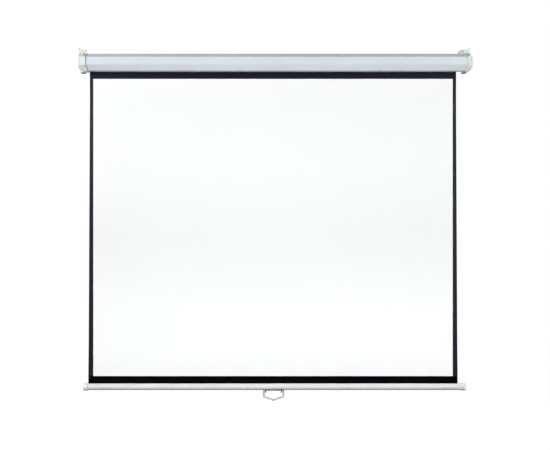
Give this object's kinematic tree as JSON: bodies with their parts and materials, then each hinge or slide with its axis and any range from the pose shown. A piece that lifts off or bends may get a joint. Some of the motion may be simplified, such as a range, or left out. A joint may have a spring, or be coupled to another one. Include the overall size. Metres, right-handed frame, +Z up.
{
  "type": "pull-down projection screen",
  "caption": "Wall-hung projection screen in an eight-sided casing: spring roller with pawl lock, white cloth with black borders, bottom bar and pull handle.",
  "frame": {"origin": "on the wall plane, midway between the keyhole slots that the two end caps hang by, level with the roller's axis", "axes": "+X along the casing to the right as seen from the front, +Y into the wall, +Z up; the cloth faces -Y"},
  "size_m": [1.622, 0.077, 1.4715],
  "materials": {
    "white_paint": "smooth powder paint",
    "white_moulding": "moulded, slightly satin",
    "bracket_paint": "white paint on folded steel",
    "zinc": "zinc-plated steel",
    "black_zinc": "black-passivated zinc on steel screws",
    "steel": "plain machined or drawn steel",
    "spring_steel": "oiled spring wire",
    "brass": "turned brass",
    "rubber": "dark rubber pad",
    "nylon": "grey nylon moulding",
    "cloth_white": "matt white projection coating",
    "cloth_black": "black coated cloth"
  },
  "bodies": {
    "case": {"casing_shell": "white_paint", "cloth_backing": "cloth_black", "cloth_field": "cloth_white", "idle_pin": "steel", "left_buffer": "rubber", "left_cap_front_screw": "black_zinc", "left_cap_top_screw": "black_zinc", "left_end_cap": "white_moulding", "left_hanger_bracket": "bracket_paint", "ratchet_wheel": "steel", "right_buffer": "rubber", "right_cap_front_screw": "black_zinc", "right_cap_top_screw": "black_zinc", "right_end_cap": "white_moulding", "right_hanger_bracket": "bracket_paint", "right_wall_ear": "zinc", "spindle": "steel", "spring_collar": "steel"},
    "roller": {"roller_tube": "zinc", "cloth_wraps": "cloth_black", "idle_bush": "brass", "idle_plug": "nylon", "lock_plug": "nylon", "upper_pawl_pin": "steel", "lower_pawl_pin": "steel", "spring_plug": "nylon", "torsion_spring": "spring_steel"},
    "screen_bar": {"bottom_bar": "white_paint", "left_bar_cap": "white_moulding", "right_bar_cap": "white_moulding", "cloth_hem": "cloth_black", "hem_rod": "steel", "handle_base": "white_moulding", "left_handle_screw": "steel", "right_handle_screw": "steel"},
    "handle": {"handle_bail": "white_moulding"},
    "upper_pawl_link": {"upper_pawl": "steel"},
    "lower_pawl_link": {"lower_pawl": "steel"}
  },
  "joints": [
    {"name": "screen_travel", "type": "slide", "parent": "case", "child": "screen_bar", "axis": [0, 0, 1], "range_m": [0, 1.29015], "deforming": ["cloth_backing", "cloth_field"]},
    {"name": "roller_turn", "type": "hinge", "parent": "case", "child": "roller", "pos_m": [0, -0.0385, 0], "axis": [1, 0, 0], "range_deg": [0, 4320.5]},
    {"name": "handle_swing", "type": "hinge", "parent": "screen_bar", "child": "handle", "pos_m": [-0.0076, -0.02322, -1.36455], "axis": [1, 0, 0], "range_deg": [-85, 85]},
    {"name": "upper_pawl_pivot", "type": "hinge", "parent": "roller", "child": "upper_pawl_link", "pos_m": [0.7687, -0.03395, 0.0125], "axis": [1, 0, 0], "range_deg": [-10, 14]},
    {"name": "lower_pawl_pivot", "type": "hinge", "parent": "roller", "child": "lower_pawl_link", "pos_m": [0.7687, -0.04305, -0.0125], "axis": [1, 0, 0], "range_deg": [-10, 14]}
  ],
  "couplings": [
    {"joint": "roller_turn", "follows": "screen_travel", "rad_per_m": 58.441}
  ]
}
